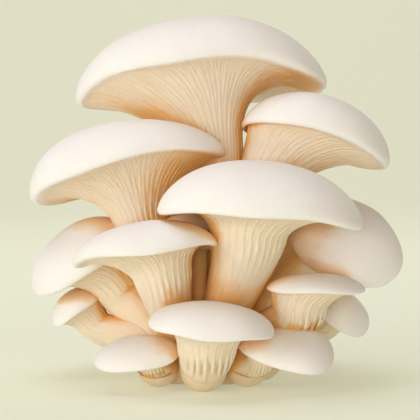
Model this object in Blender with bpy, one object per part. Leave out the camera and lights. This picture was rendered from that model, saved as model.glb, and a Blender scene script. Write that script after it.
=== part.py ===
"""Oyster mushroom cluster: twenty mushrooms that grow out of one knobbly base.

Metres, +Z up. The cluster is seen from the front along +Y. The origin lies on the surface
that the cluster stands on, in the middle of the flat cut face under the base.

Each mushroom is one solid, as it grew: a bulbous foot, a curved stem, a trumpet-shaped
underside that carries the gills, and a domed cap. The low mushrooms stand on their own feet
round the base, and the others spring from its top. Where two of them are fused, the later one
in the list is cut to fit the earlier one, with a hair's breadth between.

Run with: blender --background --python part.py
"""

import math

import bmesh
import bpy
from mathutils import Euler, Vector

MM = 0.001
GAP = 0.3 * MM  # left between two pieces that are fused in the real cluster

# The base: a squat lump, radius and height in mm, with soft knobs round its side.
BASE_RADIUS = 21.0
BASE_WAIST = 15.0  # radius of the cut face that stands on the table
BASE_HEIGHT = 31.0
BASE_KNOBS = 7
BASE_KNOB_DEPTH = 1.2
BASE_SIDES = 28
BASE_RINGS = 12

# The caps' common shape.
NECK_RINGS = 4  # rings up the trumpet under a cap
DOME_RINGS = 5  # rings over the top of a cap
STEM_STEP = 12.0  # mm of stem from one ring to the next
LEAN = 0.35  # how far the stem's ends turn from upright towards the straight line between them
FOOT_RINGS = 2
LIP_INSET = 0.95  # where the underside meets the rounded lip, as a share of the rim's radius
LIP_DROP = 0.08  # how far the lip hangs below the rim's plane, as a share of the dome
DROOP_POWER = 3.0  # how late towards its ends a cap starts to hang

# Every mushroom, in mm and degrees.
#   cap     centre of the rim's plane
#   size    half width, half depth, height of the dome over the rim's plane
#   tilt    turn of the cap about X (front down), then Y (right side down), then Z
#   droop   how far the left and the right end of the rim hang below its plane
#   crown   how far the highest point lies from the middle of the cap, to its right and back
#   taper   share by which the cap is deeper at its right end than at its left
#   ripple  height of the waves round the rim, how many there are, and where the first one is
#   flare   depth of the trumpet under the rim, and how full it is on the left and the right:
#           1 is a straight funnel, 2 a quarter circle, 3 a tighter turn
#   neck    where the stem meets the trumpet, right and back of the cap's centre
#   stem    radius at the neck, at the waist and at the foot
#   foot    centre of the rounded foot
MUSHROOMS = {
    "mushroom_top": {
        "cap": (-2, 23, 121), "size": (52, 36, 25), "tilt": (-17, -5, 0), "droop": (4, 8),
        "crown": (2, 0), "taper": 0.0, "ripple": (0.8, 5, 20), "flare": (33, 1.25, 2.6),
        "neck": (5, -5), "stem": (10, 8.5, 9), "foot": (2, 12, 24),
    },
    "mushroom_front": {
        "cap": (21.5, -28, 71), "size": (40, 28, 18.5), "tilt": (2, 4, 0), "droop": (4, 5),
        "crown": (-1, 0), "taper": 0.0, "ripple": (0.5, 5, 50), "flare": (12, 2.2, 1.8),
        "neck": (-4, 4), "stem": (15, 9.5, 9.5), "foot": (7, -10, 22),
    },
    "mushroom_upper_left": {
        "cap": (-31, 1, 84.5), "size": (40.5, 29, 20), "tilt": (-14, -13.5, 0), "droop": (3, 3),
        "crown": (-9, 0), "taper": 0.0, "ripple": (0.8, 4, 80), "flare": (23, 2.0, 1.5),
        "neck": (1, 4), "stem": (11, 8, 8), "foot": (-11, 5, 23),
    },
    "mushroom_upper_right": {
        "cap": (45, 6, 97), "size": (31, 24, 18), "tilt": (-12, 17, 0), "droop": (4, 3),
        "crown": (-1, 0), "taper": 0.0, "ripple": (0.6, 4, 30), "flare": (24, 2.6, 1.6),
        "neck": (-15, 3), "stem": (12, 7, 6.5), "foot": (14, 8, 24),
    },
    "mushroom_front_left": {
        "cap": (-23, -28, 55.2), "size": (28.5, 23, 11), "tilt": (-3, -9, 0), "droop": (1.5, 4),
        "crown": (0, 0), "taper": 0.0, "ripple": (1.6, 3, -60), "flare": (12, 1.6, 2.4),
        "neck": (5, 5), "stem": (11.5, 8, 8), "foot": (-12, -12, 20),
    },
    "mushroom_right": {
        "cap": (55.5, 4, 56), "size": (26, 20, 13), "tilt": (50, 25, 0), "droop": (1, 1),
        "crown": (2, 0), "taper": 0.0, "ripple": (0.6, 5, 0), "flare": (12, 2.0, 2.0),
        "neck": (-8, 2), "stem": (8, 6, 6), "foot": (19, 3, 20),
    },
    "mushroom_left": {
        "cap": (-49, 10, 47), "size": (24, 21, 16), "tilt": (10, -30, 0), "droop": (1, 1),
        "crown": (3, 0), "taper": 0.0, "ripple": (0.6, 4, 45), "flare": (16, 2.0, 1.6),
        "neck": (8, -2), "stem": (11.5, 8, 7), "foot": (-18, 2, 17),
    },
    "mushroom_low_right": {
        "cap": (43, -23, 40), "size": (19.5, 14, 5.5), "tilt": (4, 1, 0), "droop": (1, 1),
        "crown": (0, 0), "taper": 0.0, "ripple": (0.4, 4, 10), "flare": (9, 2.0, 1.6),
        "neck": (-6, 1), "stem": (10.5, 8, 7), "foot": (20, -8, 17),
    },
    "mushroom_inner": {
        "cap": (-7, -6, 62), "size": (12, 9, 6), "tilt": (5, -5, 0), "droop": (0.5, 0.5),
        "crown": (0, 0), "taper": 0.0, "ripple": (0.3, 4, 0), "flare": (8, 1.8, 1.8),
        "neck": (3, 0), "stem": (4.5, 3.8, 4.2), "foot": (-3.5, -9, 25),
    },
    "mushroom_front_low": {
        "cap": (2.5, -44, 27.5), "size": (24, 18, 8.5), "tilt": (10, 4, 0), "droop": (0.5, 1),
        "crown": (0, 0), "taper": 0.0, "ripple": (0.4, 5, 90), "flare": (12, 2.0, 2.0),
        "neck": (-1, 8), "stem": (11.5, 9.6, 9.4), "foot": (-0.5, -25, 8.8),
    },
    "mushroom_bottom_left": {
        "cap": (-26, -28.5, 14), "size": (17, 12.5, 7), "tilt": (20, -6, 0), "droop": (1, 0),
        "crown": (0, 0), "taper": 0.0, "ripple": (0.3, 4, 0), "flare": (4.5, 2.0, 2.0),
        "neck": (5, 4), "stem": (5.5, 7.5, 8.6), "foot": (-18.5, -15, 8.6),
    },
    "mushroom_bottom_right": {
        "cap": (31, -30, 16.5), "size": (19, 14, 7), "tilt": (27, 5, 0), "droop": (0, 1),
        "crown": (4, 0), "taper": 0.45, "ripple": (0.3, 4, 30), "flare": (5, 2.0, 2.0),
        "neck": (-9, 2), "stem": (6, 7.5, 9), "foot": (16.5, -15.5, 9),
    },
    "mushroom_low_left": {
        "cap": (-52, 12, 28), "size": (12, 12, 8), "tilt": (5, -35, 0), "droop": (0.5, 0.5),
        "crown": (0, 0), "taper": 0.0, "ripple": (0.3, 4, 0), "flare": (9, 1.8, 1.8),
        "neck": (2, 0), "stem": (7, 6.5, 7.5), "foot": (-20, 2, 14),
    },
    "mushroom_far_low_right": {
        "cap": (56, 12, 26), "size": (12.5, 11, 7), "tilt": (35, 35, 0), "droop": (0.5, 0.5),
        "crown": (0, 0), "taper": 0.0, "ripple": (0.3, 4, 60), "flare": (9, 2.0, 2.0),
        "neck": (-2, 0), "stem": (6, 5.5, 8.5), "foot": (22.5, 4, 8),
    },
    "mushroom_back_high": {
        "cap": (-8, 46, 78), "size": (30, 22, 13), "tilt": (-26, -4, 0), "droop": (2, 2),
        "crown": (0, 2), "taper": 0.0, "ripple": (0.6, 5, 15), "flare": (18, 1.8, 1.8),
        "neck": (1, -6), "stem": (9, 6.5, 6.5), "foot": (-4, 19, 22),
    },
    "mushroom_back_mid": {
        "cap": (2, 54, 47), "size": (22, 16, 9), "tilt": (-32, 3, 0), "droop": (1, 1),
        "crown": (0, 0), "taper": 0.0, "ripple": (0.5, 4, 45), "flare": (12, 1.8, 1.8),
        "neck": (0, -4), "stem": (7, 5.5, 6), "foot": (2, 21, 17),
    },
    "mushroom_back_left": {
        "cap": (-38, 40, 50), "size": (20, 17, 10), "tilt": (-24, -22, 0), "droop": (1, 1),
        "crown": (0, 0), "taper": 0.0, "ripple": (0.5, 4, 0), "flare": (13, 1.8, 1.8),
        "neck": (5, -4), "stem": (7, 5.5, 6), "foot": (-14, 16, 18),
    },
    "mushroom_back_right": {
        "cap": (38, 42, 54), "size": (22, 17, 10), "tilt": (-24, 20, 0), "droop": (1, 1),
        "crown": (0, 0), "taper": 0.0, "ripple": (0.5, 4, 70), "flare": (13, 1.8, 1.8),
        "neck": (-5, -4), "stem": (7, 5.5, 6), "foot": (14, 17, 19),
    },
    "mushroom_back_low_left": {
        "cap": (-20, 44, 22), "size": (15, 12, 7), "tilt": (-24, -10, 0), "droop": (0.5, 0.5),
        "crown": (0, 0), "taper": 0.0, "ripple": (0.3, 4, 0), "flare": (7, 2.0, 2.0),
        "neck": (2, -4), "stem": (6.5, 6.5, 8.5), "foot": (-11, 21, 8),
    },
    "mushroom_back_low_right": {
        "cap": (24, 42, 24), "size": (16, 12, 7), "tilt": (-24, 10, 0), "droop": (0.5, 0.5),
        "crown": (0, 0), "taper": 0.0, "ripple": (0.3, 4, 30), "flare": (7, 2.0, 2.0),
        "neck": (-2, -4), "stem": (6.5, 6.5, 8.5), "foot": (13, 19, 8),
    },
}
BIG_CAP = 25.0  # half width from which a cap gets more sides
SIDES_BIG = 20
SIDES_SMALL = 16
BOOLEAN_REACH = 0.5 * MM  # boxes further apart than this can't need cutting


def clear_scene():
    for obj in list(bpy.data.objects):
        bpy.data.objects.remove(obj)


def new_collection(name):
    collection = bpy.data.collections.new(name)
    bpy.context.scene.collection.children.link(collection)
    return collection


def flesh_material(name, colour, roughness):
    material = bpy.data.materials.new(name)
    material.use_nodes = True
    shader = material.node_tree.nodes["Principled BSDF"]
    shader.inputs["Base Color"].default_value = (*colour, 1.0)
    shader.inputs["Roughness"].default_value = roughness
    shader.inputs["Metallic"].default_value = 0.0
    return material


def bezier(p0, p1, p2, p3, t):
    """The point and the direction at t on a cubic curve."""
    s = 1 - t
    point = s**3 * p0 + 3 * s * s * t * p1 + 3 * s * t * t * p2 + t**3 * p3
    slope = 3 * s * s * (p1 - p0) + 6 * s * t * (p2 - p1) + 3 * t * t * (p3 - p2)
    return point, slope.normalized()


class Mushroom:
    """Turns one mushroom's dimensions into rings of points, from its foot to its crown."""

    def __init__(self, spec, sides):
        self.spec = spec
        self.angles = [2 * math.pi * k / sides for k in range(sides)]
        self.turn = Euler([math.radians(a) for a in spec["tilt"]], "XYZ").to_matrix()
        self.across, self.deep, self.up = self.turn.col
        self.cap = Vector(spec["cap"])
        self.foot = Vector(spec["foot"])
        neck_x, neck_y = spec["neck"]
        self.neck = self.cap + self.turn @ Vector((neck_x, neck_y, -spec["flare"][0]))
        reach = 0.4 * (self.neck - self.foot).length
        lean = LEAN * (self.neck - self.foot).normalized()
        leave = (lean + (1 - LEAN) * Vector((0, 0, 1))).normalized()
        arrive = (lean + (1 - LEAN) * self.up).normalized()
        self.curve = (
            self.foot,
            self.foot + reach * leave,
            self.neck - reach * arrive,
            self.neck,
        )

    def stem_radius(self, t):
        at_neck, at_waist, at_foot = self.spec["stem"]
        return at_waist + (at_foot - at_waist) * (1 - t) ** 2 + (at_neck - at_waist) * t * t

    def stem_ring(self, t, inset=1.0, below=0.0):
        """A round section across the stem at t along it, moved back along it by below."""
        centre, along = bezier(*self.curve, t)
        side = (self.across - self.across.dot(along) * along).normalized()
        other = along.cross(side)
        radius = self.stem_radius(t) * inset
        centre = centre - below * along
        ring = []
        for angle in self.angles:
            point = centre + radius * (math.cos(angle) * side + math.sin(angle) * other)
            point.z = max(point.z, 0.0)
            ring.append(point)
        return ring

    def rim(self, angle, share):
        """Where the rim's outline lies at an angle, seen along the cap's axis, times share."""
        half_width, half_depth, _ = self.spec["size"]
        x = half_width * math.cos(angle)
        y = half_depth * math.sin(angle) * (1 + self.spec["taper"] * math.cos(angle))
        return share * x, share * y

    def cap_point(self, x, y, height, angle, share):
        """A point of the cap, let down by the droop and the ripple at that share of the rim."""
        left, right = self.spec["droop"]
        wave, count, phase = self.spec["ripple"]
        end = share * math.cos(angle)
        hang = (right if end > 0 else left) * abs(end) ** DROOP_POWER
        ripple = wave * share**3 * math.cos(count * angle - math.radians(phase))
        return self.cap + self.turn @ Vector((x, y, height - hang + ripple))

    def trumpet_ring(self, sweep):
        """A section of the underside: sweep runs from 0 at the neck to 90 degrees at the lip."""
        depth, full_left, full_right = self.spec["flare"]
        neck_x, neck_y = self.spec["neck"]
        radius = self.spec["stem"][0]
        ring = []
        for angle in self.angles:
            full = full_left + (full_right - full_left) * (0.5 + 0.5 * math.cos(angle))
            out = 1 - max(0.0, math.cos(sweep)) ** (2 / full)
            rise = math.sin(sweep) ** (2 / full)
            from_x = neck_x + radius * math.cos(angle)
            from_y = neck_y + radius * math.sin(angle)
            to_x, to_y = self.rim(angle, LIP_INSET)
            x = from_x + (to_x - from_x) * out
            y = from_y + (to_y - from_y) * out
            height = -depth * (1 - rise) - LIP_DROP * self.spec["size"][2] * out
            ring.append(self.cap_point(x, y, height, angle, LIP_INSET * out))
        return ring

    def dome_ring(self, rise):
        """A section of the cap's top: rise runs from 0 at the rim to 90 degrees at the crown."""
        share = math.cos(rise)
        crown_x, crown_y = self.spec["crown"]
        height = self.spec["size"][2] * math.sin(rise)
        ring = []
        for angle in self.angles:
            x, y = self.rim(angle, share)
            x += (1 - share) * crown_x
            y += (1 - share) * crown_y
            ring.append(self.cap_point(x, y, height, angle, share))
        return ring

    def rings(self):
        """Every ring from the foot to the crown, with a single point at each end."""
        foot_radius = self.stem_radius(0)
        start, along = bezier(*self.curve, 0)
        sole = start - foot_radius * along
        sole.z = max(sole.z, 0.0)
        rings = [sole]
        for k in range(FOOT_RINGS):
            lift = math.radians(90 * (k + 1) / (FOOT_RINGS + 1))
            rings.append(self.stem_ring(0, math.sin(lift), foot_radius * math.cos(lift)))
        count = max(1, round((self.neck - self.foot).length / STEM_STEP))
        for k in range(count):
            rings.append(self.stem_ring(k / count))
        for k in range(NECK_RINGS + 1):
            rings.append(self.trumpet_ring(math.radians(90 * k / NECK_RINGS)))
        for k in range(DOME_RINGS):
            rings.append(self.dome_ring(math.radians(90 * k / DOME_RINGS)))
        crown_x, crown_y = self.spec["crown"]
        rings.append(self.cap + self.turn @ Vector((crown_x, crown_y, self.spec["size"][2])))
        return rings


def skin_of_rings(name, rings, sides):
    """A closed mesh: a sphere whose own rings are pulled to the ones given, in mm."""
    mesh = bpy.data.meshes.new(name)
    bm = bmesh.new()
    spans = len(rings) - 1
    bmesh.ops.create_uvsphere(bm, u_segments=sides, v_segments=spans, radius=1.0)
    for vert in bm.verts:
        level = round((math.pi - math.acos(max(-1.0, min(1.0, vert.co.z)))) / math.pi * spans)
        if level in (0, spans):
            place = rings[level]
        else:
            turn = math.atan2(vert.co.y, vert.co.x) / (2 * math.pi) * sides
            place = rings[level][round(turn) % sides]
        vert.co = place * MM
    bmesh.ops.triangulate(bm, faces=bm.faces)
    bm.to_mesh(mesh)
    bm.free()
    mesh.shade_smooth()
    return mesh


def base_rings():
    """The base's rings: a flat cut face, a side that bellies out in soft knobs, a round top."""
    rings = [Vector((0, 0, 0))]
    for k in range(1, BASE_RINGS):
        share = (k - 1) / (BASE_RINGS - 1)
        belly = math.sin(math.pi * min(1.0, share * 1.15))
        radius = BASE_WAIST + (BASE_RADIUS - BASE_WAIST) * belly
        fall = math.sqrt(max(0.0, 1 - max(0.0, (share - 0.35) / 0.68) ** 2.4))
        height = BASE_HEIGHT * share
        ring = []
        for side in range(BASE_SIDES):
            angle = 2 * math.pi * side / BASE_SIDES
            knob = BASE_KNOB_DEPTH * belly * math.cos(BASE_KNOBS * angle + math.radians(95))
            reach = (radius + knob) * fall
            ring.append(Vector((reach * math.cos(angle), reach * math.sin(angle), height)))
        rings.append(ring)
    rings.append(Vector((0, 0, BASE_HEIGHT)))
    return rings


def add_piece(name, mesh, material, collection):
    obj = bpy.data.objects.new(name, mesh)
    mesh.materials.append(material)
    collection.objects.link(obj)
    return obj


def grown_copy(obj, collection):
    """A cutter: the piece made larger all over by the gap."""
    cutter = bpy.data.objects.new("cutter_" + obj.name, obj.data)
    collection.objects.link(cutter)
    cutter.hide_render = True
    cutter.display_type = "WIRE"
    swell = cutter.modifiers.new("Gap", "DISPLACE")
    swell.strength = GAP
    swell.mid_level = 0.0
    return cutter


def box_of(mesh):
    points = [vert.co for vert in mesh.vertices]
    low = [min(p[axis] for p in points) for axis in range(3)]
    high = [max(p[axis] for p in points) for axis in range(3)]
    return low, high


def boxes_meet(first, second):
    (low_a, high_a), (low_b, high_b) = box_of(first.data), box_of(second.data)
    return all(
        low_a[axis] < high_b[axis] + BOOLEAN_REACH and low_b[axis] < high_a[axis] + BOOLEAN_REACH
        for axis in range(3)
    )


def cut_to_fit(pieces, collection):
    """Cuts each piece by every earlier one that it may touch, leaving the gap between."""
    cutters = []
    for piece in pieces:
        for cutter in cutters:
            if boxes_meet(piece, cutter):
                fit = piece.modifiers.new("Fit_" + cutter.name, "BOOLEAN")
                fit.operation = "DIFFERENCE"
                fit.solver = "EXACT"
                fit.object = cutter
        cutters.append(grown_copy(piece, collection))


def main():
    clear_scene()
    cluster = new_collection("oyster_mushroom_cluster")
    helpers = new_collection("cutters")
    flesh = flesh_material("mushroom_flesh", (0.87, 0.78, 0.64), 0.6)
    heel = flesh_material("base_flesh", (0.66, 0.53, 0.38), 0.7)

    base_mesh = skin_of_rings("base", base_rings(), BASE_SIDES)
    pieces = [add_piece("base", base_mesh, heel, cluster)]
    for name, spec in MUSHROOMS.items():
        sides = SIDES_BIG if spec["size"][0] >= BIG_CAP else SIDES_SMALL
        mesh = skin_of_rings(name, Mushroom(spec, sides).rings(), sides)
        pieces.append(add_piece(name, mesh, flesh, cluster))
    cut_to_fit(pieces, helpers)


main()
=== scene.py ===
import math
import random

import bpy
import numpy as np
from mathutils import Euler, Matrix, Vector
from mathutils.bvhtree import BVHTree
from mathutils.kdtree import KDTree


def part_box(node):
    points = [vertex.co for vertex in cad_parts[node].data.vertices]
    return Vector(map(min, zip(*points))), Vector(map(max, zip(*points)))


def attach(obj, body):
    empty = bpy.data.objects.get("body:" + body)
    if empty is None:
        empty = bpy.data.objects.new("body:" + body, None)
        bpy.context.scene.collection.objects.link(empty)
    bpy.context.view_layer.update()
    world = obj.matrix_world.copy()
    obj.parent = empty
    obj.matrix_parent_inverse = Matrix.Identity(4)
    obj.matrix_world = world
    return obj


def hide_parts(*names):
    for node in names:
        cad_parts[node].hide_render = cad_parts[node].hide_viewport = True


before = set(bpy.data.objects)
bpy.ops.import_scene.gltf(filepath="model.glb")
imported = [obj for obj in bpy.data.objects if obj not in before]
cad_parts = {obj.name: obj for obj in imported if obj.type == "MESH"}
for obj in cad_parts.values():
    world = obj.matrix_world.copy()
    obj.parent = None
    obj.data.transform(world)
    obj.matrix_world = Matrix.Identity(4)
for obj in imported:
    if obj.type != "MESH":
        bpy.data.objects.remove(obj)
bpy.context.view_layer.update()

print("frame loaded:", len(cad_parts), "nodes")

# sizes are in millimetres and degrees
shape = {
    "lipInset": 0.95,  # where the gills stop, as a share of the rim's radius
    "lipDrop": 0.08,  # thickness of the rolled rim, as a share of the cap's height
    "droopPower": 3.0,
    "stemLean": 0.35,
    "stemStep": 3.5,  # one ring of the mesh to this much stem
    "trumpetRings": 12,
    "domeRings": 12,
    "lump": 0.45,  # soft unevenness of the flesh
    "lumpSize": 16.0,
}

gills = {
    "spacing": 1.6,  # from one gill to the next at the rim
    "depth": 0.32,  # how far a gill stands off the flesh
    "rootWidth": 1.1,  # as a share of the room that a gill has
    "edgeWidth": 0.42,
    "bury": 0.5,
    "sink": 0.15,  # a gill dips this far under the flesh where it fades out
    "start": (0.0, 0.62, 0.30, 0.62),  # four kinds of gill in turn: how far out each starts
    "runDown": (0.12, 0.42),  # how far down the stem the full gills run, as a share of it
    "lipFade": 6,  # how steeply the gills rise from nothing at the lip
    "stemFade": 2.2,  # how soon they fade down the stem
    "fadePower": 1.2,
    "wander": 0.22,  # how unevenly they are spaced, as a share of the room
    "sway": 0.35,  # how far they curve aside
}


def fromHex(text):
    # sRGB hex to linear
    parts = [int(text[i:i + 2], 16) / 255 for i in (0, 2, 4)]
    return tuple(c / 12.92 if c <= 0.04045 else ((c + 0.055) / 1.055) ** 2.4 for c in parts)


def findSocket(node, name):
    # a mix node has a socket of the same name for each kind of value, and only one is switched on
    return next(socket for socket in node.inputs if socket.name == name and socket.enabled)


def addNode(tree, kind, settings=None, links=None):
    # settings: attributes, or socket values under "inputs"; links: socket name to output socket
    node = tree.nodes.new(kind)
    for key, value in (settings or {}).items():
        if key == "inputs":
            for socket, number in value.items():
                findSocket(node, socket).default_value = number
        elif key == "ramp":
            while len(node.color_ramp.elements) < len(value):
                node.color_ramp.elements.new(0.5)
            for element, (place, colour) in zip(node.color_ramp.elements, value):
                element.position = place
                element.color = (*colour, 1)
        else:
            setattr(node, key, value)
    for socket, output in (links or {}).items():
        tree.links.new(output, findSocket(node, socket))
    return node


def mushroomFlesh(look):
    # fresh mushroom flesh: matte, pale and waxy, letting in a little light, with a golden painted shade
    # where neighbours crowd it
    material = bpy.data.materials.new(look["name"])
    material.use_nodes = True
    tree = material.node_tree
    tree.nodes.clear()
    place = addNode(tree, "ShaderNodeTexCoord").outputs["Object"]
    grain = addNode(tree, "ShaderNodeAttribute", {"attribute_name": "grain"}).outputs["Vector"]
    skin = addNode(tree, "ShaderNodeAttribute", {"attribute_name": "skin"}).outputs["Fac"]
    heel = addNode(tree, "ShaderNodeAttribute", {"attribute_name": "heel"}).outputs["Fac"]
    # how much golden painted shade each spot takes, from how closely neighbours crowd it
    fold = addNode(tree, "ShaderNodeAttribute", {"attribute_name": "fold"}).outputs["Fac"]
    # fibres that run from the foot to the rim, about 0.8 mm apart
    along = addNode(tree, "ShaderNodeMapping", {"inputs": {"Scale": look["fibreScale"]}}, {"Vector": grain})
    fibres = addNode(
        tree, "ShaderNodeTexNoise",
        {"inputs": {"Scale": 1.0, "Detail": 3.0, "Roughness": 0.55}},
        {"Vector": along.outputs[0]},
    )
    # cloudy patches, about 12 mm across
    patches = addNode(
        tree, "ShaderNodeTexNoise",
        {"inputs": {"Scale": 85.0, "Detail": 2.0, "Roughness": 0.5}}, {"Vector": place},
    )
    # the fine felt of the skin, drawn at 0.7 mm, coarser than the real one so that it shows
    felt = addNode(
        tree, "ShaderNodeTexNoise",
        {"inputs": {"Scale": 1400.0, "Detail": 2.0, "Roughness": 0.6}}, {"Vector": place},
    )
    under = addNode(
        tree, "ShaderNodeValToRGB",
        {"ramp": [(0.30, fromHex(look["fleshDark"])), (0.70, fromHex(look["fleshLight"]))]},
        {"Fac": fibres.outputs["Fac"]},
    )
    over = addNode(
        tree, "ShaderNodeValToRGB",
        {"ramp": [(0.25, fromHex(look["skinDark"])), (0.75, fromHex(look["skinLight"]))]},
        {"Fac": patches.outputs["Fac"]},
    )
    tan = addNode(
        tree, "ShaderNodeValToRGB",
        {"ramp": [(0.30, fromHex(look["heelDark"])), (0.70, fromHex(look["heelLight"]))]},
        {"Fac": patches.outputs["Fac"]},
    )
    body = addNode(
        tree, "ShaderNodeMix", {"data_type": "RGBA"},
        {"Factor": heel, "A": under.outputs["Color"], "B": tan.outputs["Color"]},
    )
    colour = addNode(
        tree, "ShaderNodeMix", {"data_type": "RGBA"},
        {"Factor": skin, "A": body.outputs["Result"], "B": over.outputs["Color"]},
    )
    # painted shade between the mushrooms: a golden tint that stands in for light that warms as it goes from
    # one to the next
    shadeRamp = addNode(
        tree, "ShaderNodeMapRange",
        {"interpolation_type": "SMOOTHSTEP",
         "inputs": {"From Min": look["paintedShadeFrom"], "From Max": look["paintedShadeTo"], "To Max": look["paintedShadeMost"]}},
        {"Value": fold},
    )
    bare = addNode(
        tree, "ShaderNodeMapRange",
        {"inputs": {"To Min": 1.0, "To Max": look["paintedShadeOnSkin"]}}, {"Value": skin},
    )
    tint = addNode(
        tree, "ShaderNodeMath", {"operation": "MULTIPLY"}, {"Value": shadeRamp.outputs["Result"]},
    )
    tree.links.new(bare.outputs["Result"], tint.inputs[1])
    # the golden painted shade mixed into the flesh colour
    golden = addNode(
        tree, "ShaderNodeMix",
        {"data_type": "RGBA", "inputs": {"B": (*fromHex(look["paintedShadeColour"]), 1)}},
        {"Factor": tint.outputs["Value"], "A": colour.outputs["Result"]},
    )
    rough = addNode(
        tree, "ShaderNodeMapRange",
        {"inputs": {
            "From Min": 0.3, "From Max": 0.7, "To Min": look["roughLow"], "To Max": look["roughHigh"],
        }},
        {"Value": felt.outputs["Fac"]},
    )
    fibreBump = addNode(
        tree, "ShaderNodeBump", {"inputs": {"Strength": look["fibreBump"], "Distance": 0.0004}},
        {"Height": fibres.outputs["Fac"]},
    )
    feltBump = addNode(
        tree, "ShaderNodeBump", {"inputs": {"Strength": look["feltBump"], "Distance": 0.0002}},
        {"Height": felt.outputs["Fac"], "Normal": fibreBump.outputs["Normal"]},
    )
    shader = addNode(
        tree, "ShaderNodeBsdfPrincipled",
        {"inputs": {
            "IOR": 1.4,
            "Subsurface Weight": look["glow"],
            "Subsurface Radius": (1.0, 0.55, 0.25),
            "Subsurface Scale": look["glowDepth"],
            "Specular IOR Level": 0.35,
        }},
        {
            "Base Color": golden.outputs["Result"],
            "Roughness": rough.outputs["Result"],
            "Normal": feltBump.outputs["Normal"],
        },
    )
    addNode(tree, "ShaderNodeOutputMaterial", None, {"Surface": shader.outputs["BSDF"]})
    return material


fleshLook = {
    "name": "freshMushroomFlesh",
    "fibreScale": (55, 55, 9),
    "fleshDark": "F3DEC2", "fleshLight": "FAEBD6",
    "skinDark": "FBF8F6", "skinLight": "FDFCFB",
    "heelDark": "DDC5A2", "heelLight": "EFDDC0",
    # the golden painted shade: its colour, where it starts and where it is full, its strength, and its
    # share on the cap's skin
    "paintedShadeColour": "EFBC76", "paintedShadeFrom": 0.32, "paintedShadeTo": 0.74, "paintedShadeMost": 1.0, "paintedShadeOnSkin": 0.7,
    "roughLow": 0.50, "roughHigh": 0.66,
    "fibreBump": 0.35, "feltBump": 0.25,
    "glow": 0.15, "glowDepth": 0.0015,
}
heelLook = dict(
    fleshLook, name="mushroomHeelFlesh", fleshDark="D5B88C", fleshLight="EAD3AE",
    heelDark="C4A272", heelLight="E0C69C", roughLow=0.62, roughHigh=0.8, fibreBump=0.6,
)
flesh = mushroomFlesh(fleshLook)
heelFlesh = mushroomFlesh(heelLook)
print("materials made")


def directions(look):
    # the cap's own right, back and up, and the stem's curve from the foot to the neck
    turn = Euler([math.radians(a) for a in look["tilt"]], "XYZ").to_matrix()
    right, back, up = (np.array(axis) for axis in turn.col)
    cap = np.array(look["cap"], float)
    foot = np.array(look["foot"], float)
    neck = cap + look["neck"][0] * right + look["neck"][1] * back - look["flare"][0] * up
    length = np.linalg.norm(neck - foot)
    lean = shape["stemLean"] * (neck - foot) / length
    leave = lean + (1 - shape["stemLean"]) * np.array((0, 0, 1))
    arrive = lean + (1 - shape["stemLean"]) * up
    leave = leave / np.linalg.norm(leave)
    arrive = arrive / np.linalg.norm(arrive)
    curve = (foot, foot + 0.4 * length * leave, neck - 0.4 * length * arrive, neck)
    return {"right": right, "back": back, "up": up, "cap": cap, "curve": curve, "length": length}


def stemRadius(look, t):
    atNeck, atWaist, atFoot = look["stem"]
    return atWaist + (atFoot - atWaist) * (1 - t) ** 2 + (atNeck - atWaist) * t * t


def stemRing(look, way, t, angles, inset=1.0, below=0.0):
    p0, p1, p2, p3 = way["curve"]
    s = 1 - t
    centre = s ** 3 * p0 + 3 * s * s * t * p1 + 3 * s * t * t * p2 + t ** 3 * p3
    heading = 3 * s * s * (p1 - p0) + 6 * s * t * (p2 - p1) + 3 * t * t * (p3 - p2)
    heading = heading / np.linalg.norm(heading)
    side = way["right"] - way["right"].dot(heading) * heading
    side = side / np.linalg.norm(side)
    other = np.cross(heading, side)
    radius = stemRadius(look, t) * inset
    ring = np.outer(np.cos(angles), side) + np.outer(np.sin(angles), other)
    return centre - below * heading + radius * ring


def rimOutline(look, angles, share):
    halfWidth, halfDepth, _ = look["size"]
    x = share * halfWidth * np.cos(angles)
    y = share * halfDepth * np.sin(angles) * (1 + look["taper"] * np.cos(angles))
    return x, y


def capPoints(look, way, x, y, height, angles, share):
    # let down by the droop of the cap's two ends and by the ripple of its rim
    left, right = look["droop"]
    wave, count, phase = look["ripple"]
    end = share * np.cos(angles)
    hang = np.where(end > 0, right, left) * np.abs(end) ** shape["droopPower"]
    ripple = wave * share ** 3 * np.cos(count * angles - math.radians(phase))
    z = height - hang + ripple
    return way["cap"] + np.outer(x, way["right"]) + np.outer(y, way["back"]) + np.outer(z, way["up"])


def trumpetRing(look, way, opening, angles):
    # the underside of the cap: opening is 0 at the neck and 90 degrees at the lip
    depth, fullLeft, fullRight = look["flare"]
    neckX, neckY = look["neck"]
    radius = look["stem"][0]
    power = 2 / (fullLeft + (fullRight - fullLeft) * (0.5 + 0.5 * np.cos(angles)))
    out = 1 - max(0.0, math.cos(opening)) ** power
    rise = math.sin(opening) ** power
    toX, toY = rimOutline(look, angles, shape["lipInset"])
    fromX = neckX + radius * np.cos(angles)
    fromY = neckY + radius * np.sin(angles)
    x = fromX + (toX - fromX) * out
    y = fromY + (toY - fromY) * out
    height = -depth * (1 - rise) - shape["lipDrop"] * look["size"][2] * out
    return capPoints(look, way, x, y, height, angles, shape["lipInset"] * out)


def domeRing(look, way, rise, angles):
    share = math.cos(rise)
    crownX, crownY = look["crown"]
    x, y = rimOutline(look, angles, share)
    height = look["size"][2] * math.sin(rise) * np.ones_like(angles)
    return capPoints(look, way, x + (1 - share) * crownX, y + (1 - share) * crownY, height, angles, share)


def wallRing(look, way, level, angles):
    # level runs from -1 at the foot through 0 at the neck to 1 at the lip
    if level < 0:
        return stemRing(look, way, 1 + level, angles)
    return trumpetRing(look, way, math.radians(90 * level), angles)


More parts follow.
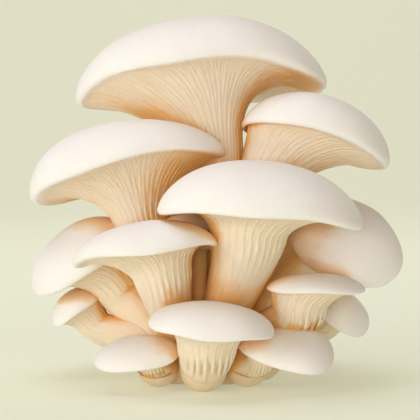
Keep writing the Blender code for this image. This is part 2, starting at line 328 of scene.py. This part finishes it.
def wallNormals(look, way, level, angles):
    # straight out of the flesh, away from the middle of the stem
    step = 0.01
    low, high = max(-1.0, level - step), min(0.999, level + step)
    if low < 0 < high:
        low, high = (level, high) if level >= 0 else (low, level)
    climb = wallRing(look, way, high, angles) - wallRing(look, way, low, angles)
    turn = wallRing(look, way, level, angles + step) - wallRing(look, way, level, angles - step)
    normals = np.cross(turn, climb)
    return normals / np.maximum(1e-9, np.linalg.norm(normals, axis=1))[:, None]


def gillHeight(level):
    # share of a gill's full height at a level: nothing at the lip, fading down the stem
    if level >= 0:
        return min(1.0, (1 - level) * gills["lipFade"])
    return max(0.0, 1 + level * gills["stemFade"]) ** gills["fadePower"]


def stationsOf(look, way):
    # where the mesh has a ring: foot, stem, trumpet, dome
    stemRings = max(2, round(way["length"] / shape["stemStep"]))
    stations = [("foot", math.radians(a)) for a in (12, 30, 48, 66, 80)]
    stations += [("wall", k / stemRings - 1) for k in range(stemRings)]
    stations += [("wall", k / shape["trumpetRings"]) for k in range(shape["trumpetRings"] + 1)]
    stations += [("dome", math.radians(a)) for a in np.linspace(0, 86, shape["domeRings"])]
    return stations


def straightProfile(look, way, stations):
    # radius and height of each ring of the mushroom before it is bent: upright and round
    halfWidth, halfDepth, dome = look["size"]
    meanRim = 0.5 * (halfWidth + halfDepth)
    depth, fullLeft, fullRight = look["flare"]
    power = 4 / (fullLeft + fullRight)
    footRadius = stemRadius(look, 0)
    profile = []
    for kind, value in stations:
        if kind == "foot":
            profile.append((footRadius * math.sin(value), -footRadius * math.cos(value)))
        elif kind == "wall" and value < 0:
            profile.append((stemRadius(look, 1 + value), (1 + value) * way["length"]))
        elif kind == "wall":
            out = 1 - max(0.0, math.cos(math.radians(90 * value))) ** power
            rise = math.sin(math.radians(90 * value)) ** power
            reach = shape["lipInset"] * meanRim
            radius = look["stem"][0] + (reach - look["stem"][0]) * out
            profile.append((radius, way["length"] + (depth - 1) * rise + 0.002 * value))
        else:
            top = way["length"] + depth + dome * math.sin(value)
            profile.append((meanRim * math.cos(value), top))
    return profile


def straightMushroom(name, look, profile):
    # one disc, extruded and widened ring by ring from the foot to the crown
    bpy.ops.object.select_all(action="DESELECT")
    radius, height = profile[0]
    bpy.ops.mesh.primitive_circle_add(
        vertices=look["sides"], radius=radius, fill_type="TRIFAN", location=(0, 0, height),
    )
    piece = bpy.context.object
    piece.name = name
    bpy.ops.object.mode_set(mode="EDIT")
    bpy.ops.mesh.select_all(action="SELECT")
    for (wasRadius, wasHeight), (radius, height) in zip(profile, profile[1:]):
        bpy.ops.mesh.extrude_region_move(TRANSFORM_OT_translate={"value": (0, 0, height - wasHeight)})
        widen = radius / wasRadius
        bpy.ops.transform.resize(value=(widen, widen, 1))
    bpy.ops.mesh.select_all(action="SELECT")
    bpy.ops.mesh.normals_make_consistent(inside=False)
    bpy.ops.object.mode_set(mode="OBJECT")
    bpy.ops.object.transform_apply(location=True, rotation=True, scale=True)
    return piece


# rays that measure how closely neighbours crowd the flesh, for the golden painted shade
paintedShadeRays = {
    "reach": 42.0,  # a neighbour further off than this leaves the flesh in the open
    "rays": 16,
    "stand": 1.5,  # the rays start this far out from the flesh
}


def solidsTree():
    # all the plain solids as one tree for casting rays at
    points, triangles = [], []
    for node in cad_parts.values():
        first = len(points)
        points += [vertex.co for vertex in node.data.vertices]
        triangles += [[first + corner for corner in face.vertices] for face in node.data.polygons]
    return BVHTree.FromPolygons(points, triangles)


solids = solidsTree()


def paintedShadeDepths(spots, normals):
    # painted shade: 0 in the open, 1 where neighbours stand close all round
    golden = math.pi * (3 - math.sqrt(5))
    fan = []
    for k in range(paintedShadeRays["rays"]):
        tall = math.sqrt(1 - (k + 0.5) / paintedShadeRays["rays"])
        wide = math.sqrt(1 - tall * tall)
        fan.append((wide * math.cos(golden * k), wide * math.sin(golden * k), tall))
    reach = paintedShadeRays["reach"] * 0.001
    shadeAmounts = np.zeros(len(spots))
    for n, (spot, normal) in enumerate(zip(spots, normals)):
        out = Vector(normal)
        aside = out.orthogonal().normalized()
        other = out.cross(aside)
        start = Vector(spot) + out * paintedShadeRays["stand"] * 0.001
        total = 0.0
        for x, y, z in fan:
            distance = solids.ray_cast(start, x * aside + y * other + z * out, reach)[3]
            if distance is not None:
                total += (1 - distance / reach) ** 0.5
        shadeAmounts[n] = total / len(fan)
    return shadeAmounts


def bendIntoPlace(piece, look, way, stations, profile):
    # every ring goes to its real place: stem curved, rim oval, rippled and hanging at its ends
    mesh = piece.data
    count = len(mesh.vertices)
    spots = np.empty(count * 3)
    mesh.vertices.foreach_get("co", spots)
    spots = spots.reshape(-1, 3)
    heights = np.array([height for _, height in profile])
    ring = np.abs(spots[:, 2][:, None] - heights[None, :]).argmin(axis=1)
    angle = np.arctan2(spots[:, 1], spots[:, 0])
    radius = np.hypot(spots[:, 0], spots[:, 1])
    placed = np.zeros_like(spots)
    skin = np.zeros(count)
    heel = np.zeros(count)
    grain = np.zeros((count, 3))
    travelled = 0.0
    for k, (kind, value) in enumerate(stations):
        if k:
            travelled += math.dist(profile[k], profile[k - 1]) / 100
        these = np.where(ring == k)[0]
        angles = angle[these]
        if kind == "foot":
            footRadius = stemRadius(look, 0)
            points = stemRing(look, way, 0, angles, math.sin(value), footRadius * math.cos(value))
            heel[these] = look["heel"]
        elif kind == "wall":
            points = wallRing(look, way, value, angles)
            inset = gills["depth"] * look["gillSize"] * gillHeight(value)
            points = points - inset * wallNormals(look, way, value, angles)
            heel[these] = look["heel"] * max(0.0, -value) ** 1.5
            skin[these] = 1.0 if value > 0.99 else 0.0
        else:
            points = domeRing(look, way, value, angles)
            skin[these] = 1.0
        placed[these] = points
        grain[these] = np.column_stack((np.cos(angles), np.sin(angles), np.full(len(these), travelled)))
    # the two fans close on the sole and on the crown
    middles = np.where(radius < 1e-4)[0]
    low, high = middles[np.argsort(spots[middles, 2])]
    p0, p1 = way["curve"][:2]
    heading = (p1 - p0) / np.linalg.norm(p1 - p0)
    placed[low] = p0 - stemRadius(look, 0) * heading
    crownX, crownY = look["crown"]
    placed[high] = way["cap"] + crownX * way["right"] + crownY * way["back"] + look["size"][2] * way["up"]
    grain[[low, high], :2] = 0
    placed[:, 2] = np.maximum(placed[:, 2], 0.0)
    mesh.vertices.foreach_set("co", (placed * 0.001).ravel())
    mesh.attributes.new("skin", "FLOAT", "POINT").data.foreach_set("value", skin)
    mesh.attributes.new("heel", "FLOAT", "POINT").data.foreach_set("value", heel)
    mesh.attributes.new("grain", "FLOAT_VECTOR", "POINT").data.foreach_set("vector", grain.ravel())
    mesh.update()
    normals = [tuple(vertex.normal) for vertex in mesh.vertices]
    # the painted shade of each spot, from how closely the neighbours crowd it
    paintedShades = paintedShadeDepths(placed * 0.001, normals)
    mesh.attributes.new("fold", "FLOAT", "POINT").data.foreach_set("value", paintedShades)
    nearest = KDTree(count)
    for n, spot in enumerate(placed):
        nearest.insert(spot, n)
    nearest.balance()
    return nearest, paintedShades


def applyModifier(piece, kind, settings):
    bpy.ops.object.select_all(action="DESELECT")
    piece.select_set(True)
    bpy.context.view_layer.objects.active = piece
    modifier = piece.modifiers.new(kind.title(), kind)
    for key, value in settings.items():
        setattr(modifier, key, value)
    bpy.ops.object.modifier_apply(modifier=modifier.name)


def gillBlades(name, look, way, chance, nearest, paintedShades):
    # thin wedges that stand on the flesh, from the stem out to the lip; every fourth one runs
    # down the stem, the others start further out where there is room
    halfWidth, halfDepth, _ = look["size"]
    around = math.pi * (halfWidth + halfDepth) * shape["lipInset"]
    pitch = gills["spacing"] * look["gillSize"] ** 0.5
    number = 4 * round(around / pitch / 4)
    depth = gills["depth"] * look["gillSize"]
    points, faces, grains, heels, shadeAmounts = [], [], [], [], []
    for k in range(number):
        kind = k % 4
        wander = chance.uniform(-gills["wander"], gills["wander"])
        angle = 2 * math.pi * (k + wander) / number
        start = gills["start"][kind]
        if kind == 0:
            start = -chance.uniform(*gills["runDown"])
        elif start > 0:
            start = min(0.9, start * chance.uniform(0.85, 1.15))
        steps = 22 if kind == 0 else 9
        sway = chance.uniform(-gills["sway"], gills["sway"]) / number * 2 * math.pi
        levels = np.linspace(start, 0.985, steps)
        rows = []
        for n, level in enumerate(levels):
            progress = n / (steps - 1)
            here = np.array([angle + sway * math.sin(3 * progress)])
            at = wallRing(look, way, level, here)[0]
            beside = wallRing(look, way, level, here + 2 * math.pi / number)[0]
            normal = wallNormals(look, way, level, here)[0]
            side = beside - at
            # near the stem only one gill in four is there, further out one in two
            alone = 4 if level < gills["start"][2] * 0.8 else 2 if level < gills["start"][1] * 0.9 else 1
            room = np.linalg.norm(side) * alone
            side = side / max(1e-9, np.linalg.norm(side))
            room = min(room, pitch * 1.25)
            stand = (depth + gills["sink"]) * gillHeight(level) * min(1.0, progress * 4) - gills["sink"]
            root = at - (depth * gillHeight(level) + gills["bury"]) * normal
            crest = at - (depth * gillHeight(level) - stand) * normal
            wide, thin = 0.5 * room * gills["rootWidth"], 0.5 * room * gills["edgeWidth"]
            rows.append((root - wide * side, crest - thin * side, crest + thin * side, root + wide * side))
            heels += [look["heel"] * max(0.0, -level) ** 1.5] * 4
            # each gill takes the painted shade of the flesh nearest its root
            shadeAmounts += [paintedShades[nearest.find(root)[1]]] * 4
            reach = (1 + level) * 0.5
            grains += [(math.cos(angle), math.sin(angle), reach)] * 4
        first = len(points)
        for row in rows:
            points += row
        for n in range(steps - 1):
            a = first + 4 * n
            for j in range(4):
                faces.append((a + j, a + (j + 1) % 4, a + 4 + (j + 1) % 4, a + 4 + j))
        faces.append((first + 3, first + 2, first + 1, first))
        last = first + 4 * (steps - 1)
        faces.append((last, last + 1, last + 2, last + 3))
    mesh = bpy.data.meshes.new(name + "Gills")
    mesh.from_pydata([tuple(p * 0.001) for p in points], [], faces)
    mesh.attributes.new("skin", "FLOAT", "POINT").data.foreach_set("value", np.zeros(len(points)))
    mesh.attributes.new("heel", "FLOAT", "POINT").data.foreach_set("value", np.array(heels))
    mesh.attributes.new("fold", "FLOAT", "POINT").data.foreach_set("value", np.array(shadeAmounts))
    vectors = mesh.attributes.new("grain", "FLOAT_VECTOR", "POINT")
    vectors.data.foreach_set("vector", np.array(grains, float).ravel())
    blades = bpy.data.objects.new(name + "Gills", mesh)
    bpy.context.collection.objects.link(blades)
    return blades


def joinInto(piece, others):
    bpy.ops.object.select_all(action="DESELECT")
    for other in others:
        other.select_set(True)
    piece.select_set(True)
    bpy.context.view_layer.objects.active = piece
    bpy.ops.object.join()


lumps = bpy.data.textures.new("softLumps", "CLOUDS")
lumps.noise_scale = shape["lumpSize"] * 0.001
lumps.noise_depth = 1


def growMushroom(name, node, look):
    way = directions(look)
    stations = stationsOf(look, way)
    profile = straightProfile(look, way, stations)
    piece = straightMushroom(name, look, profile)
    nearest, paintedShades = bendIntoPlace(piece, look, way, stations, profile)
    applyModifier(piece, "SUBSURF", {"levels": 1, "render_levels": 1})
    applyModifier(piece, "DISPLACE", {
        "texture": lumps, "texture_coords": "LOCAL", "mid_level": 0.5,
        "strength": shape["lump"] * look["gillSize"] * 0.001,
    })
    for vertex in piece.data.vertices:
        vertex.co.z = max(0.0, vertex.co.z)
    joinInto(piece, [gillBlades(name, look, way, random.Random(look["seed"]), nearest, paintedShades)])
    piece.data.materials.clear()
    piece.data.materials.append(flesh)
    bpy.ops.object.select_all(action="DESELECT")
    piece.select_set(True)
    bpy.context.view_layer.objects.active = piece
    bpy.ops.object.shade_smooth_by_angle(angle=math.radians(50))
    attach(piece, "root")
    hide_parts(node)
    print("grown:", name, len(piece.data.polygons), "faces")


topCap = {
    "cap": (-2, 23, 121), "size": (52, 36, 25), "tilt": (-17, -5, 0), "droop": (4, 8),
    "crown": (2, 0), "taper": 0.0, "ripple": (0.8, 5, 20), "flare": (33, 1.25, 2.6),
    "neck": (5, -5), "stem": (10, 8.5, 9), "foot": (2, 12, 24),
    "sides": 72, "gillSize": 1.0, "heel": 0.5, "seed": 1,
}
growMushroom("topMushroom", "mushroom_top", topCap)

frontCap = {
    "cap": (21.5, -28, 71), "size": (40, 28, 18.5), "tilt": (2, 4, 0), "droop": (4, 5),
    "crown": (-1, 0), "taper": 0.0, "ripple": (0.5, 5, 50), "flare": (12, 2.2, 1.8),
    "neck": (-4, 4), "stem": (15, 9.5, 9.5), "foot": (7, -10, 22),
    "sides": 64, "gillSize": 0.9, "heel": 0.5, "seed": 2,
}
growMushroom("frontMushroom", "mushroom_front", frontCap)

upperLeftCap = {
    "cap": (-31, 1, 84.5), "size": (40.5, 29, 20), "tilt": (-14, -13.5, 0), "droop": (3, 3),
    "crown": (-9, 0), "taper": 0.0, "ripple": (0.8, 4, 80), "flare": (23, 2.0, 1.5),
    "neck": (1, 4), "stem": (11, 8, 8), "foot": (-11, 5, 23),
    "sides": 64, "gillSize": 0.9, "heel": 0.5, "seed": 3,
}
growMushroom("upperLeftMushroom", "mushroom_upper_left", upperLeftCap)

upperRightCap = {
    "cap": (45, 6, 97), "size": (31, 24, 18), "tilt": (-12, 17, 0), "droop": (4, 3),
    "crown": (-1, 0), "taper": 0.0, "ripple": (0.6, 4, 30), "flare": (24, 2.6, 1.6),
    "neck": (-15, 3), "stem": (12, 7, 6.5), "foot": (14, 8, 24),
    "sides": 56, "gillSize": 0.85, "heel": 0.5, "seed": 4,
}
growMushroom("upperRightMushroom", "mushroom_upper_right", upperRightCap)

frontLeftCap = {
    "cap": (-23, -28, 55.2), "size": (28.5, 23, 11), "tilt": (-3, -9, 0), "droop": (1.5, 4),
    "crown": (0, 0), "taper": 0.0, "ripple": (1.6, 3, -60), "flare": (12, 1.6, 2.4),
    "neck": (5, 5), "stem": (11.5, 8, 8), "foot": (-12, -12, 20),
    "sides": 56, "gillSize": 0.8, "heel": 0.5, "seed": 5,
}
growMushroom("frontLeftMushroom", "mushroom_front_left", frontLeftCap)

rightCap = {
    "cap": (55.5, 4, 56), "size": (26, 20, 13), "tilt": (50, 25, 0), "droop": (1, 1),
    "crown": (2, 0), "taper": 0.0, "ripple": (0.6, 5, 0), "flare": (12, 2.0, 2.0),
    "neck": (-8, 2), "stem": (8, 6, 6), "foot": (19, 3, 20),
    "sides": 48, "gillSize": 0.75, "heel": 0.5, "seed": 6,
}
growMushroom("rightMushroom", "mushroom_right", rightCap)

leftCap = {
    "cap": (-49, 10, 47), "size": (24, 21, 16), "tilt": (10, -30, 0), "droop": (1, 1),
    "crown": (3, 0), "taper": 0.0, "ripple": (0.6, 4, 45), "flare": (16, 2.0, 1.6),
    "neck": (8, -2), "stem": (11.5, 8, 7), "foot": (-18, 2, 17),
    "sides": 48, "gillSize": 0.75, "heel": 0.5, "seed": 7,
}
growMushroom("leftMushroom", "mushroom_left", leftCap)

lowRightCap = {
    "cap": (43, -23, 40), "size": (19.5, 14, 5.5), "tilt": (4, 1, 0), "droop": (1, 1),
    "crown": (0, 0), "taper": 0.0, "ripple": (0.4, 4, 10), "flare": (9, 2.0, 1.6),
    "neck": (-6, 1), "stem": (10.5, 8, 7), "foot": (20, -8, 17),
    "sides": 44, "gillSize": 0.6, "heel": 0.5, "seed": 8,
}
growMushroom("lowRightMushroom", "mushroom_low_right", lowRightCap)

innerCap = {
    "cap": (-7, -6, 62), "size": (12, 9, 6), "tilt": (5, -5, 0), "droop": (0.5, 0.5),
    "crown": (0, 0), "taper": 0.0, "ripple": (0.3, 4, 0), "flare": (8, 1.8, 1.8),
    "neck": (3, 0), "stem": (4.5, 3.8, 4.2), "foot": (-3.5, -9, 25),
    "sides": 32, "gillSize": 0.4, "heel": 0.5, "seed": 9,
}
growMushroom("innerMushroom", "mushroom_inner", innerCap)

frontLowCap = {
    "cap": (2.5, -44, 27.5), "size": (24, 18, 8.5), "tilt": (10, 4, 0), "droop": (0.5, 1),
    "crown": (0, 0), "taper": 0.0, "ripple": (0.4, 5, 90), "flare": (12, 2.0, 2.0),
    "neck": (-1, 8), "stem": (11.5, 9.6, 9.4), "foot": (-0.5, -25, 8.8),
    "sides": 48, "gillSize": 0.65, "heel": 0.8, "seed": 10,
}
growMushroom("frontLowMushroom", "mushroom_front_low", frontLowCap)

bottomLeftCap = {
    "cap": (-26, -28.5, 14), "size": (17, 12.5, 7), "tilt": (20, -6, 0), "droop": (1, 0),
    "crown": (0, 0), "taper": 0.0, "ripple": (0.3, 4, 0), "flare": (4.5, 2.0, 2.0),
    "neck": (5, 4), "stem": (5.5, 7.5, 8.6), "foot": (-18.5, -15, 8.6),
    "sides": 40, "gillSize": 0.4, "heel": 0.8, "seed": 11,
}
growMushroom("bottomLeftMushroom", "mushroom_bottom_left", bottomLeftCap)

bottomRightCap = {
    "cap": (31, -30, 16.5), "size": (19, 14, 7), "tilt": (27, 5, 0), "droop": (0, 1),
    "crown": (4, 0), "taper": 0.45, "ripple": (0.3, 4, 30), "flare": (5, 2.0, 2.0),
    "neck": (-9, 2), "stem": (6, 7.5, 9), "foot": (16.5, -15.5, 9),
    "sides": 40, "gillSize": 0.4, "heel": 0.8, "seed": 12,
}
growMushroom("bottomRightMushroom", "mushroom_bottom_right", bottomRightCap)

lowLeftCap = {
    "cap": (-52, 12, 28), "size": (12, 12, 8), "tilt": (5, -35, 0), "droop": (0.5, 0.5),
    "crown": (0, 0), "taper": 0.0, "ripple": (0.3, 4, 0), "flare": (9, 1.8, 1.8),
    "neck": (2, 0), "stem": (7, 6.5, 7.5), "foot": (-20, 2, 14),
    "sides": 40, "gillSize": 0.5, "heel": 0.6, "seed": 13,
}
growMushroom("lowLeftMushroom", "mushroom_low_left", lowLeftCap)

farLowRightCap = {
    "cap": (56, 12, 26), "size": (12.5, 11, 7), "tilt": (35, 35, 0), "droop": (0.5, 0.5),
    "crown": (0, 0), "taper": 0.0, "ripple": (0.3, 4, 60), "flare": (9, 2.0, 2.0),
    "neck": (-2, 0), "stem": (6, 5.5, 8.5), "foot": (22.5, 4, 8),
    "sides": 40, "gillSize": 0.5, "heel": 0.6, "seed": 14,
}
growMushroom("farLowRightMushroom", "mushroom_far_low_right", farLowRightCap)

backHighCap = {
    "cap": (-8, 46, 78), "size": (30, 22, 13), "tilt": (-26, -4, 0), "droop": (2, 2),
    "crown": (0, 2), "taper": 0.0, "ripple": (0.6, 5, 15), "flare": (18, 1.8, 1.8),
    "neck": (1, -6), "stem": (9, 6.5, 6.5), "foot": (-4, 19, 22),
    "sides": 56, "gillSize": 0.8, "heel": 0.5, "seed": 15,
}
growMushroom("backHighMushroom", "mushroom_back_high", backHighCap)

backMidCap = {
    "cap": (2, 54, 47), "size": (22, 16, 9), "tilt": (-32, 3, 0), "droop": (1, 1),
    "crown": (0, 0), "taper": 0.0, "ripple": (0.5, 4, 45), "flare": (12, 1.8, 1.8),
    "neck": (0, -4), "stem": (7, 5.5, 6), "foot": (2, 21, 17),
    "sides": 48, "gillSize": 0.65, "heel": 0.5, "seed": 16,
}
growMushroom("backMidMushroom", "mushroom_back_mid", backMidCap)

backLeftCap = {
    "cap": (-38, 40, 50), "size": (20, 17, 10), "tilt": (-24, -22, 0), "droop": (1, 1),
    "crown": (0, 0), "taper": 0.0, "ripple": (0.5, 4, 0), "flare": (13, 1.8, 1.8),
    "neck": (5, -4), "stem": (7, 5.5, 6), "foot": (-14, 16, 18),
    "sides": 48, "gillSize": 0.65, "heel": 0.5, "seed": 17,
}
growMushroom("backLeftMushroom", "mushroom_back_left", backLeftCap)

backRightCap = {
    "cap": (38, 42, 54), "size": (22, 17, 10), "tilt": (-24, 20, 0), "droop": (1, 1),
    "crown": (0, 0), "taper": 0.0, "ripple": (0.5, 4, 70), "flare": (13, 1.8, 1.8),
    "neck": (-5, -4), "stem": (7, 5.5, 6), "foot": (14, 17, 19),
    "sides": 48, "gillSize": 0.65, "heel": 0.5, "seed": 18,
}
growMushroom("backRightMushroom", "mushroom_back_right", backRightCap)

backLowLeftCap = {
    "cap": (-20, 44, 22), "size": (15, 12, 7), "tilt": (-24, -10, 0), "droop": (0.5, 0.5),
    "crown": (0, 0), "taper": 0.0, "ripple": (0.3, 4, 0), "flare": (7, 2.0, 2.0),
    "neck": (2, -4), "stem": (6.5, 6.5, 8.5), "foot": (-11, 21, 8),
    "sides": 40, "gillSize": 0.5, "heel": 0.8, "seed": 19,
}
growMushroom("backLowLeftMushroom", "mushroom_back_low_left", backLowLeftCap)

backLowRightCap = {
    "cap": (24, 42, 24), "size": (16, 12, 7), "tilt": (-24, 10, 0), "droop": (0.5, 0.5),
    "crown": (0, 0), "taper": 0.0, "ripple": (0.3, 4, 30), "flare": (7, 2.0, 2.0),
    "neck": (-2, -4), "stem": (6.5, 6.5, 8.5), "foot": (13, 19, 8),
    "sides": 40, "gillSize": 0.5, "heel": 0.8, "seed": 20,
}
growMushroom("backLowRightMushroom", "mushroom_back_low_right", backLowRightCap)

heel = {
    "rings": 24, "sides": 48, "knob": 2.2, "knobSize": 9.0,
}


def knobblyHeel():
    # a ball set to the size of the heel, cut flat underneath and covered in soft knobs
    low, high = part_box("base")
    size = high - low
    bpy.ops.object.select_all(action="DESELECT")
    bpy.ops.mesh.primitive_uv_sphere_add(segments=heel["sides"], ring_count=heel["rings"], radius=0.5)
    piece = bpy.context.object
    piece.name = "knobblyHeel"
    bpy.ops.object.mode_set(mode="EDIT")
    bpy.ops.mesh.select_all(action="SELECT")
    bpy.ops.transform.resize(value=(size.x * 0.96, size.y * 0.96, size.z * 1.45))
    bpy.ops.transform.translate(value=((low.x + high.x) / 2, (low.y + high.y) / 2, size.z * 0.26))
    bpy.ops.mesh.bisect(plane_co=(0, 0, low.z), plane_no=(0, 0, 1), use_fill=True, clear_inner=True)
    bpy.ops.mesh.select_all(action="SELECT")
    bpy.ops.mesh.normals_make_consistent(inside=False)
    bpy.ops.object.mode_set(mode="OBJECT")
    knobs = bpy.data.textures.new("softKnobs", "CLOUDS")
    knobs.noise_scale = heel["knobSize"] * 0.001
    knobs.noise_depth = 1
    applyModifier(piece, "SUBSURF", {"levels": 1, "render_levels": 1})
    applyModifier(piece, "DISPLACE", {
        "texture": knobs, "texture_coords": "LOCAL", "mid_level": 0.6, "strength": heel["knob"] * 0.001,
    })
    count = len(piece.data.vertices)
    spots = np.empty(count * 3)
    piece.data.vertices.foreach_get("co", spots)
    spots = spots.reshape(-1, 3)
    spots[:, 2] = np.maximum(spots[:, 2], low.z)
    piece.data.vertices.foreach_set("co", spots.ravel())
    turn = np.arctan2(spots[:, 1], spots[:, 0])
    grain = np.column_stack((np.cos(turn), np.sin(turn), spots[:, 2] * 10))
    piece.data.attributes.new("skin", "FLOAT", "POINT").data.foreach_set("value", np.zeros(count))
    piece.data.attributes.new("heel", "FLOAT", "POINT").data.foreach_set("value", np.full(count, 0.5))
    # an even painted shade of 0.3, below where the golden tint begins
    piece.data.attributes.new("fold", "FLOAT", "POINT").data.foreach_set("value", np.full(count, 0.3))
    piece.data.attributes.new("grain", "FLOAT_VECTOR", "POINT").data.foreach_set("vector", grain.ravel())
    piece.data.materials.append(heelFlesh)
    bpy.ops.object.shade_smooth_by_angle(angle=math.radians(50))
    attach(piece, "root")
    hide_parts("base")


knobblyHeel()
print("heel made")

sweep = {
    "colour": "D2D5C6",
    "glowColour": "DFE2CB", "glow": 0.38,  # lit from behind a little, so that it is even
    "front": -1.6, "back": 1.3, "rise": 1.9, "bend": 0.7, "half": 2.5,
}


def paperSweep():
    # a strip of paper: flat under the cluster, then bent up behind it
    bpy.ops.object.select_all(action="DESELECT")
    bpy.ops.mesh.primitive_plane_add(size=1, location=(0, 0, 0))
    piece = bpy.context.object
    piece.name = "paperSweep"
    bpy.ops.object.mode_set(mode="EDIT")
    bpy.ops.mesh.select_all(action="SELECT")
    bpy.ops.transform.resize(value=(2 * sweep["half"], sweep["back"] - sweep["front"], 1))
    bpy.ops.transform.translate(value=(0, (sweep["front"] + sweep["back"]) / 2, 0))
    bpy.ops.object.mode_set(mode="OBJECT")
    mesh = piece.data
    for turn in range(13):
        angle = math.radians(90 * turn / 12)
        y = sweep["back"] + sweep["bend"] * math.sin(angle)
        z = sweep["bend"] * (1 - math.cos(angle))
        if turn:
            bpy.ops.object.mode_set(mode="EDIT")
            bpy.ops.mesh.extrude_region_move(TRANSFORM_OT_translate={"value": (0, y - lastY, z - lastZ)})
            bpy.ops.object.mode_set(mode="OBJECT")
        else:
            for edge in mesh.edges:
                edge.select = all(mesh.vertices[v].co.y > sweep["back"] - 0.01 for v in edge.vertices)
            for vertex in mesh.vertices:
                vertex.select = vertex.co.y > sweep["back"] - 0.01
            for face in mesh.polygons:
                face.select = False
        lastY, lastZ = y, z
    bpy.ops.object.mode_set(mode="EDIT")
    bpy.ops.mesh.extrude_region_move(TRANSFORM_OT_translate={"value": (0, 0, sweep["rise"])})
    bpy.ops.object.mode_set(mode="OBJECT")
    for face in mesh.polygons:
        face.use_smooth = True
    paper = bpy.data.materials.new("mattePaper")
    paper.use_nodes = True
    shader = paper.node_tree.nodes["Principled BSDF"]
    shader.inputs["Base Color"].default_value = (*fromHex(sweep["colour"]), 1)
    shader.inputs["Roughness"].default_value = 0.9
    shader.inputs["Specular IOR Level"].default_value = 0.1
    shader.inputs["Emission Color"].default_value = (*fromHex(sweep["glowColour"]), 1)
    shader.inputs["Emission Strength"].default_value = sweep["glow"]
    mesh.materials.append(paper)


paperSweep()

lamps = {
    # place, aim, width, power, colour
    "softboxLeft": ((-1.0, -0.9, 0.32), (0, 0, 0.07), 0.6, 5.8, "FCFDFF"),
    "softboxTop": ((-0.2, -0.05, 1.4), (0, 0, 0.05), 1.0, 6.3, "FFFFFF"),
    "softboxFront": ((-0.15, -1.35, 0.13), (0, 0, 0.08), 0.4, 4.5, "FFF7EE"),
    "backdropLamp": ((0.0, 0.5, 1.2), (0, 1.9, 0.5), 1.0, 5.0, "FFFFFF"),
}
for name, (place, aim, width, power, colour) in lamps.items():
    bpy.ops.object.light_add(type="AREA", location=place)
    lamp = bpy.context.object
    lamp.name = name
    lamp.data.size = width
    lamp.data.energy = power
    lamp.data.color = fromHex(colour)
    lamp.rotation_euler = (Vector(aim) - Vector(place)).to_track_quat("-Z", "Y").to_euler()

world = bpy.data.worlds.new("paleRoom")
bpy.context.scene.world = world
world.use_nodes = True
world.node_tree.nodes["Background"].inputs["Color"].default_value = (*fromHex("FFE9D6"), 1)
world.node_tree.nodes["Background"].inputs["Strength"].default_value = 0.32

view = {"distance": 0.7, "rise": 3.0, "aim": (0.002, 0.0, 0.069), "lens": 150}
bpy.ops.object.camera_add()
camera = bpy.context.object
camera.name = "camera"
tilt = math.radians(view["rise"])
aimX, aimY, aimZ = view["aim"]
camera.location = (aimX, aimY - view["distance"] * math.cos(tilt), aimZ + view["distance"] * math.sin(tilt))
camera.rotation_euler = (math.pi / 2 - tilt, 0, 0)
camera.data.lens = view["lens"]
camera.data.sensor_width = 36
camera.data.clip_start = 0.01
bpy.context.scene.camera = camera
bpy.context.scene.view_settings.view_transform = "Standard"
print("studio set")
